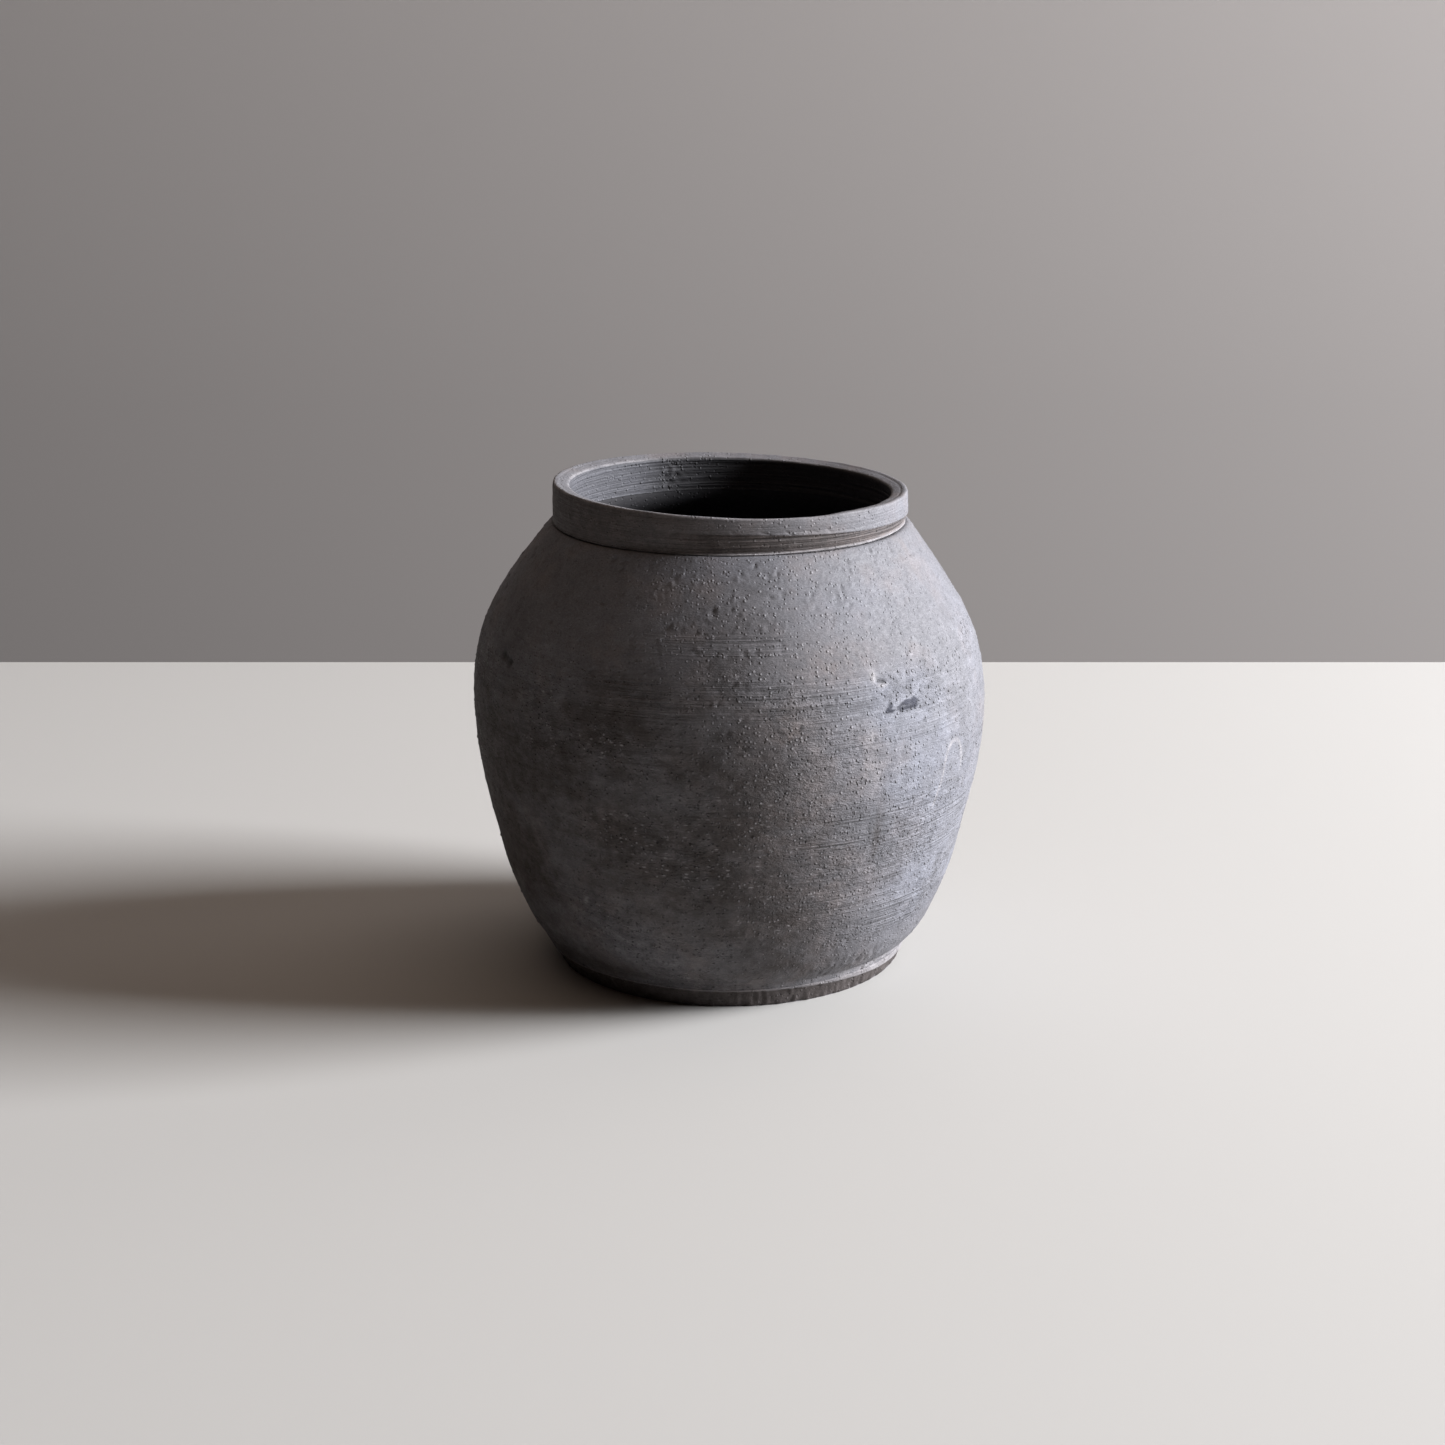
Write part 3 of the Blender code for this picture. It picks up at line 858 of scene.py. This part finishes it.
class Tree:
    """Short calls that build one material's node tree."""

    def __init__(self, name):
        self.material = bpy.data.materials.new(name)
        self.material.use_nodes = True
        self.nodes = self.material.node_tree.nodes
        self.links = self.material.node_tree.links
        self.shader = self.nodes["Principled BSDF"]

    def put(self, socket, value):
        """Links a socket to another node's output, or sets its own value."""
        if isinstance(value, bpy.types.NodeSocket):
            self.links.new(value, socket)
        else:
            socket.default_value = value

    def node(self, kind, output=0, settings=None, **inputs):
        made = self.nodes.new("ShaderNode" + kind)
        for key, value in (settings or {}).items():
            setattr(made, key, value)
        for key, value in inputs.items():
            self.put(made.inputs[key.replace("_", " ")], value)
        return made.outputs[output]

    def place(self, scale=(1, 1, 1)):
        """Object coordinates, in metres of the frame, stretched by scale."""
        at = self.node("TexCoord", "Object")
        return self.node("Mapping", Vector=at, Scale=scale)

    def noise(self, scale, detail=2.0, roughness=0.5, stretch=(1, 1, 1), distortion=0.0):
        return self.node("TexNoise", "Fac", Vector=self.place(stretch), Scale=scale, Detail=detail,
                         Roughness=roughness, Distortion=distortion)

    def ramp(self, value, low, high, start=0.0, end=1.0):
        """value from low..high carried smoothly to start..end."""
        return self.node("MapRange", "Result", {"interpolation_type": "SMOOTHSTEP"}, Value=value,
                         From_Min=low, From_Max=high, To_Min=start, To_Max=end)

    def math(self, operation, a, b):
        made = self.nodes.new("ShaderNodeMath")
        made.operation = operation
        self.put(made.inputs[0], a)
        self.put(made.inputs[1], b)
        return made.outputs[0]

    def times(self, a, b):
        return self.math("MULTIPLY", a, b)

    def mix(self, share, under, over, blend="MIX"):
        made = self.nodes.new("ShaderNodeMix")
        made.data_type = "RGBA"
        made.blend_type = blend
        self.put(made.inputs[0], share)
        for slot, colour in ((6, under), (7, over)):
            is_socket = isinstance(colour, bpy.types.NodeSocket)
            self.put(made.inputs[slot], colour if is_socket else (*colour, 1))
        return made.outputs[2]

    def mask(self, name):
        return self.node("Attribute", "Fac", {"attribute_name": name})

    def grains(self, cells_per_metre, size, kept, offset, stretch=(1, 1, 1)):
        """Scattered round grains, 1 at their middles: cells of a size, of which a share is kept."""
        at = self.node("Mapping", Vector=self.place(stretch), Location=offset)
        cells = self.nodes.new("ShaderNodeTexVoronoi")
        self.put(cells.inputs["Vector"], at)
        cells.inputs["Scale"].default_value = cells_per_metre
        pick = self.node("SeparateColor", "Red", Color=cells.outputs["Color"])
        return self.times(self.ramp(cells.outputs["Distance"], 0.05, size, 1, 0),
                          self.ramp(pick, 1 - kept, 1.0 - 0.6 * kept))

    def bump(self, height, distance, under=None):
        inputs = {"Height": height, "Distance": distance}
        if under is not None:
            inputs["Normal"] = under
        return self.node("Bump", 0, None, **inputs)


BODY_CLAY = (0.140, 0.137, 0.147)
WARM_CLAY = (0.170, 0.143, 0.137)
# Dark clay, partly smoky and partly painted shade for the shaded left and the undercuts.
SMOKE_AND_SHADE_CLAY = (0.044, 0.035, 0.032)
# Pale bluish clay, partly a chalky film and partly painted light and sheen of the lit side.
BLOOM_AND_LIGHT_CLAY = (0.184, 0.187, 0.213)
# Pale clay, for dusty marks and specks and for painted highlights on the ledge, edges, bead and crumbs.
DUST_AND_HIGHLIGHT_CLAY = (0.285, 0.270, 0.276)
INK_CLAY = (0.030, 0.031, 0.043)
# Painted shade: the colour that pits, pores, dents, deep cuts and the inside are darkened towards.
PIT_SHADE_CLAY = (0.018, 0.016, 0.016)
# Painted shade: a darker clay for the inside of the jar.
INSIDE_CLAY = (0.080, 0.079, 0.088)


def clay_colour(tree, rough, mottle, crumbs):
    """The body's colour with its stains laid one over another, each broken up by a noise; among them are
    painted shade, painted light and painted highlights.
    """
    cloud = tree.noise(15, 4, 0.55, distortion=0.4)
    patch = tree.noise(46, 3, 0.6)
    specks = tree.grains(240, 0.075, 0.30, (0.71, 0.53, 0.19))
    # Painted highlights: grains and crumbs painted pale on the rough dark places, where the light
    # doesn't reach them.
    crumb_glints = tree.grains(330, 0.32, 0.70, (0.13, 0.57, 0.31), (0.7, 0.7, 1.6))
    crumb_glints = tree.times(tree.math("MAXIMUM", crumb_glints, crumbs), tree.ramp(mottle, 0.35, 0.55, 0.3, 1))
    glint_share = tree.times(tree.mask("smoke_and_shade"), tree.ramp(rough, 0.35, 0.75))
    layers = [
        (tree.ramp(patch, 0.45, 0.70, 0, 0.5), WARM_CLAY),
        (tree.times(tree.mask("warm"), tree.ramp(mottle, 0.3, 0.65, 0.4, 1)), WARM_CLAY),
        (tree.times(tree.mask("bloom_and_light"), tree.ramp(patch, 0.35, 0.6, 0.5, 1)), BLOOM_AND_LIGHT_CLAY),
        (tree.ramp(cloud, 0.50, 0.75, 0, 0.28), SMOKE_AND_SHADE_CLAY),
        (tree.times(tree.mask("smoke_and_shade"), tree.ramp(mottle, 0.25, 0.7, 1, 0.82)), SMOKE_AND_SHADE_CLAY),
        (tree.mask("inside"), INSIDE_CLAY),
        (tree.times(tree.mask("dust_and_highlight"), tree.ramp(mottle, 0.3, 0.6, 0.6, 1)), DUST_AND_HIGHLIGHT_CLAY),
        (tree.times(specks, 0.55), DUST_AND_HIGHLIGHT_CLAY),
        # Crumbs painted pale, partly pale grit and partly painted highlight.
        (tree.times(crumbs, 0.35), DUST_AND_HIGHLIGHT_CLAY),
        (tree.times(crumb_glints, glint_share), DUST_AND_HIGHLIGHT_CLAY),
        (tree.mask("ink"), INK_CLAY),
    ]
    colour = BODY_CLAY
    for share, over in layers:
        colour = tree.mix(share, colour, over)
    return colour


def clay_shade(tree, rough, mottle, fine, lines):
    """Lighter and darker places over the stains, around 1: grain, blotches, wipes and combed lines."""
    wiped = tree.noise(1.0, 4, 0.65, stretch=(75, 75, 240))
    worked = tree.ramp(rough, 0.0, 0.6, 0.35, 1.0)
    blotches = tree.times(tree.ramp(mottle, 0.25, 0.75, -0.20, 0.20), worked)
    wipes = tree.times(tree.math("SUBTRACT", wiped, 0.5), worked)
    shade = tree.ramp(fine, 0.25, 0.75, 0.78, 1.24)
    for change in (blotches, tree.times(wipes, 1.1), tree.times(lines, 2.2)):
        shade = tree.times(shade, tree.math("ADD", 1.0, change))
    return shade


def clay(name, grain=1.0):
    """Matt fired clay. Masks on the mesh place its smoky clouds and painted shade, stains, pale patches
    and painted light, dusty marks and painted highlights, combing, pits with painted shade, and its
    darker inside.
    """
    tree = Tree(name)
    rough = tree.mask("rough")
    mottle = tree.noise(190, 3, 0.6)
    fine = tree.noise(1300, 3, 0.7, stretch=(0.8, 0.8, 1.4))
    sand = tree.noise(540, 2, 0.6, stretch=(0.7, 0.7, 1.4))
    streak = tree.noise(1.0, 3, 0.6, stretch=(18, 18, 1050))
    lines = tree.times(tree.math("SUBTRACT", streak, 0.5), tree.mask("comb"))
    sandiness = tree.ramp(rough, 0.0, 0.7, 0.30, 1.0)
    crumbs = tree.times(tree.grains(470, 0.36, 0.60, (0, 0, 0)), sandiness)
    pores = tree.times(tree.grains(520, 0.32, 0.50, (0.37, 0.11, 0.23)), sandiness)

    colour = clay_colour(tree, rough, mottle, crumbs)
    colour = tree.mix(1.0, colour, clay_shade(tree, rough, mottle, fine, lines), "MULTIPLY")
    # Painted shade: pores and the marked pits, dents, cuts and inside are darkened towards the pit
    # colour.
    dark = tree.math("MAXIMUM", tree.times(pores, 0.4), tree.times(tree.mask("hollow_shade"), 0.8))
    tree.put(tree.shader.inputs["Base Color"], tree.mix(dark, colour, PIT_SHADE_CLAY))
    tree.put(tree.shader.inputs["Roughness"], tree.ramp(sand, 0.3, 0.7, 0.62, 0.80))
    tree.shader.inputs["Specular IOR Level"].default_value = 0.35

    grit = tree.ramp(tree.mask("inside"), 0, 1, MM * grain, 0.4 * MM * grain)
    relief = tree.bump(fine, tree.times(tree.ramp(rough, 0, 1, 0.14, 0.44), grit))
    relief = tree.bump(sand, tree.times(tree.ramp(rough, 0, 1, 0.15, 0.68), grit), relief)
    relief = tree.bump(tree.math("SUBTRACT", crumbs, pores), 1.0 * MM, relief)
    relief = tree.bump(lines, 1.8 * MM, relief)
    tree.put(tree.shader.inputs["Normal"], relief)
    return tree.material


def plain(name, colour, roughness):
    """Matt paint for the stage."""
    tree = Tree(name)
    tree.shader.inputs["Base Color"].default_value = (*colour, 1)
    tree.shader.inputs["Roughness"].default_value = roughness
    tree.shader.inputs["Specular IOR Level"].default_value = 0.2
    return tree.material


# ---------------------------------------------------------------- camera, light and stage

CAMERA_PLACE = (-3.0 * MM, -1.132, 0.428)
CAMERA_PITCH = math.radians(15.87)
CAMERA_LENS = 64.8

KEY_AZIMUTH = math.radians(90)      # from the front towards +X
KEY_HEIGHT = math.radians(22.5)
KEY_DISTANCE = 4.0
KEY_SIZE = 1.7
KEY_POWER = 530
KEY_COLOUR = (0.98, 1.0, 1.05)
CEILING_HEIGHT = 2.6
CEILING_SIZE = 3.0
CEILING_POWER = 10
CEILING_COLOUR = (1.3, 1.0, 0.8)
LAMP_TARGET = Vector((0, 0, 0.1))   # both lamps face this place and stand off from it
ROOM_LIGHT = (0.008, 0.004, 0.003)

# The room in metres: half its width, the floor's back edge, the wall behind it, and the walls' ends.
ROOM_SIDE = 4.0
FLOOR_BACK = 0.518
WALL_BACK = 1.6
WALL_FOOT_Z = -2.0
WALL_TOP_Z = 3.0
FLOOR_COLOUR = (0.460, 0.447, 0.425)
WALL_COLOUR = (0.293, 0.271, 0.257)


def make_camera():
    data = bpy.data.cameras.new("camera")
    data.lens = CAMERA_LENS
    data.clip_start = 0.05
    data.clip_end = 50
    camera = bpy.data.objects.new("camera", data)
    camera.location = CAMERA_PLACE
    camera.rotation_euler = (math.pi / 2 - CAMERA_PITCH, 0, 0)
    bpy.context.scene.collection.objects.link(camera)
    bpy.context.scene.camera = camera


def make_lamp(name, size, power, colour, back, distance):
    """A square soft lamp that faces the jar from a direction; the camera doesn't see it."""
    data = bpy.data.lights.new(name, "AREA")
    data.shape = "SQUARE"
    data.size = size
    data.energy = power
    data.color = colour
    lamp = bpy.data.objects.new(name, data)
    lamp.location = LAMP_TARGET + back * distance
    lamp.rotation_euler = back.to_track_quat("Z", "Y").to_euler()
    lamp.visible_camera = False
    bpy.context.scene.collection.objects.link(lamp)


def make_lights():
    across = math.cos(KEY_HEIGHT)
    window = Vector((math.sin(KEY_AZIMUTH) * across, -math.cos(KEY_AZIMUTH) * across,
                     math.sin(KEY_HEIGHT)))
    overhead = Vector((0, 0, 1))
    make_lamp("window", KEY_SIZE, KEY_POWER, KEY_COLOUR, window, KEY_DISTANCE)
    make_lamp("ceiling", CEILING_SIZE, CEILING_POWER, CEILING_COLOUR, overhead, CEILING_HEIGHT)
    world = bpy.data.worlds.new("room")
    world.use_nodes = True
    world.node_tree.nodes["Background"].inputs["Color"].default_value = (*ROOM_LIGHT, 1)
    bpy.context.scene.world = world


def make_sheet(name, corners, material):
    mesh = bpy.data.meshes.new(name)
    mesh.from_pydata(corners, [], [(0, 1, 2, 3)])
    mesh.materials.append(material)
    sheet = bpy.data.objects.new(name, mesh)
    bpy.context.scene.collection.objects.link(sheet)
    sheet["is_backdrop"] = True
    return sheet


def make_wall(name, start, end, material):
    """An upright sheet over the line between two (x, y) places."""
    return make_sheet(name, [(*start, WALL_FOOT_Z), (*end, WALL_FOOT_Z),
                             (*end, WALL_TOP_Z), (*start, WALL_TOP_Z)], material)


def make_stage():
    """The floor, the wall behind it, and three far walls that show only from other sides, not to this
    camera.
    """
    far = ROOM_SIDE
    floor_paint = plain("floor paint", FLOOR_COLOUR, 0.9)
    wall_paint = plain("wall paint", WALL_COLOUR, 0.95)
    make_sheet("floor", [(-far, -far, 0), (far, -far, 0), (far, FLOOR_BACK, 0), (-far, FLOOR_BACK, 0)],
               floor_paint)
    make_wall("backdrop", (-far, WALL_BACK), (far, WALL_BACK), wall_paint)
    for name, start, end in (("left_wall", (-far, -far), (-far, WALL_BACK)),
                             ("front_wall", (far, -far), (-far, -far)),
                             ("right_wall", (far, WALL_BACK), (far, -far))):
        wall = make_wall(name, start, end, wall_paint)
        # These walls throw no light back on the jar and cast no shadow.
        wall.visible_diffuse = False
        wall.visible_glossy = False
        wall.visible_shadow = False


# ---------------------------------------------------------------- the jar

def finish_piece(piece, node, material):
    piece.data.materials.append(material)
    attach(piece, "root")
    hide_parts(node)


make_camera()
make_lights()
make_stage()
finish_piece(make_foot(), "foot_disc", clay("foot clay"))
finish_piece(make_lower_wall(), "lower_wall", clay("lower wall clay", grain=1.3))
finish_piece(make_upper_wall(), "upper_wall", clay("upper wall clay"))
finish_piece(make_collar(), "rim_collar", clay("collar clay", grain=0.8))

bpy.context.scene.view_settings.view_transform = "Standard"
